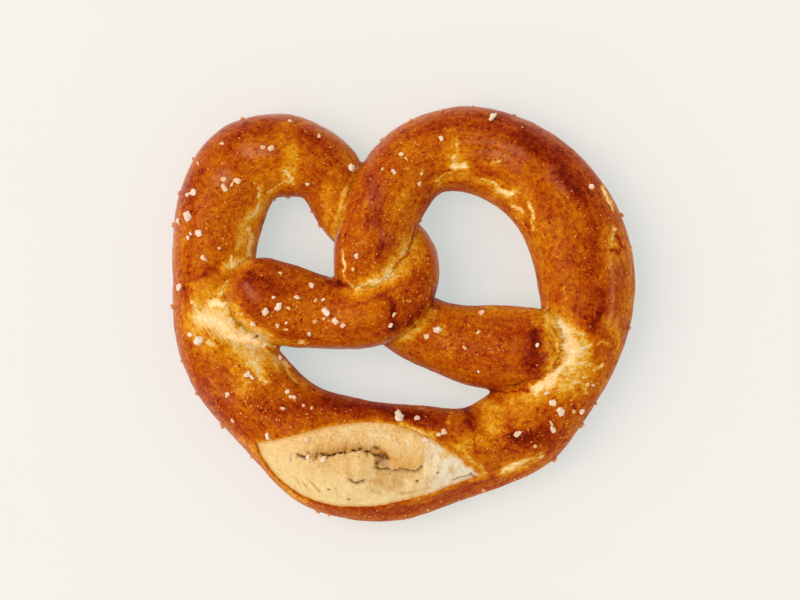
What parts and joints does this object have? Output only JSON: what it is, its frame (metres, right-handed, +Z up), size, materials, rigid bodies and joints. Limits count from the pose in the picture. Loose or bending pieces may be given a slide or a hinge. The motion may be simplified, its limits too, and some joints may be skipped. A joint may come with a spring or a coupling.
{
  "type": "bavarian pretzel",
  "caption": "Soft salted pretzel: one knotted rope of browned bread with a pale split along its belly, lying flat.",
  "frame": {"origin": "under the middle of the pretzel's bounding box, on the surface that it lies on", "axes": "+X across the two loops, +Y from the split belly towards the loops, +Z up out of the flat underside"},
  "size_m": [0.1658, 0.1484, 0.0314],
  "materials": {
    "crust": "satin",
    "crumb": "matte",
    "salt": "satin"
  },
  "bodies": {
    "root": {"pretzel": "crust"}
  },
  "joints": []
}
